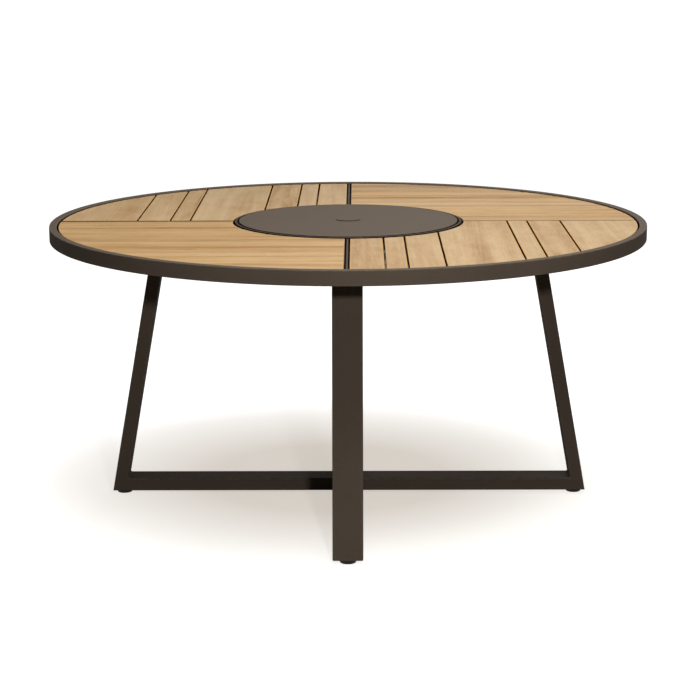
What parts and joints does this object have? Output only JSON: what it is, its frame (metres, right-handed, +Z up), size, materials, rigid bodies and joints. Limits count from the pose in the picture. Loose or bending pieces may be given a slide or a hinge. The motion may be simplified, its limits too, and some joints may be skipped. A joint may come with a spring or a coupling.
{
  "type": "outdoor dining table",
  "caption": "Round outdoor dining table with a pinwheel top of wooden slats in a dark metal rim, a flush turntable with a parasol cap, and crossed sled legs.",
  "frame": {"origin": "on the floor under the middle of the table", "axes": "+Z up, +X to the right as seen from the front, the front is at -Y"},
  "size_m": [1.6, 1.6, 0.7638],
  "materials": {
    "powder_coating": "satin dark bronze powder coating on aluminium",
    "teak": "oiled straight-grained teak",
    "raw_aluminium": "mill finish",
    "black_nylon": "matte black",
    "bearing_steel": "zinc plated"
  },
  "bodies": {
    "table": {"rim": "powder_coating", "turntable_collar": "powder_coating", "beam_right": "powder_coating", "beam_back": "powder_coating", "beam_left": "powder_coating", "beam_front": "powder_coating", "turntable_pan": "powder_coating", "leg_right": "powder_coating", "leg_back": "powder_coating", "leg_left": "powder_coating", "leg_front": "powder_coating", "cross_bar": "powder_coating", "half_bar_front": "powder_coating", "half_bar_back": "powder_coating", "leg_plate_right": "powder_coating", "leg_plate_back": "powder_coating", "leg_plate_left": "powder_coating", "leg_plate_front": "powder_coating", "centre_plate": "powder_coating", "slat_front_right_1": "teak", "slat_front_right_2": "teak", "slat_front_right_3": "teak", "slat_front_right_4": "teak", "slat_front_right_5": "teak", "slat_front_right_6": "teak", "slat_front_right_7": "teak", "slat_back_right_1": "teak", "slat_back_right_2": "teak", "slat_back_right_3": "teak", "slat_back_right_4": "teak", "slat_back_right_5": "teak", "slat_back_right_6": "teak", "slat_back_right_7": "teak", "slat_back_left_1": "teak", "slat_back_left_2": "teak", "slat_back_left_3": "teak", "slat_back_left_4": "teak", "slat_back_left_5": "teak", "slat_back_left_6": "teak", "slat_back_left_7": "teak", "slat_front_left_1": "teak", "slat_front_left_2": "teak", "slat_front_left_3": "teak", "slat_front_left_4": "teak", "slat_front_left_5": "teak", "slat_front_left_6": "teak", "slat_front_left_7": "teak", "batten_front_right": "raw_aluminium", "batten_back_right": "raw_aluminium", "batten_back_left": "raw_aluminium", "batten_front_left": "raw_aluminium", "glide_right": "black_nylon", "glide_back": "black_nylon", "glide_left": "black_nylon", "glide_front": "black_nylon", "bearing_lower_ring": "bearing_steel"},
    "turntable": {"turntable_disc": "powder_coating", "bearing_upper_ring": "bearing_steel"},
    "ball_cage": {"bearing_ball_cage": "bearing_steel"},
    "cap": {"parasol_cap": "powder_coating"}
  },
  "joints": [
    {"name": "turntable_spin", "type": "hinge", "parent": "table", "child": "turntable", "pos_m": [0, 0, 0.75], "axis": [0, 0, 1], "continuous": true},
    {"name": "ball_cage_spin", "type": "hinge", "parent": "table", "child": "ball_cage", "pos_m": [0, 0, 0.75], "axis": [0, 0, 1], "continuous": true},
    {"name": "cap_lift", "type": "slide", "parent": "turntable", "child": "cap", "axis": [0, 0, 1], "range_m": [0, 0.06]}
  ],
  "couplings": [
    {"joint": "ball_cage_spin", "follows": "turntable_spin", "ratio": 0.5}
  ]
}
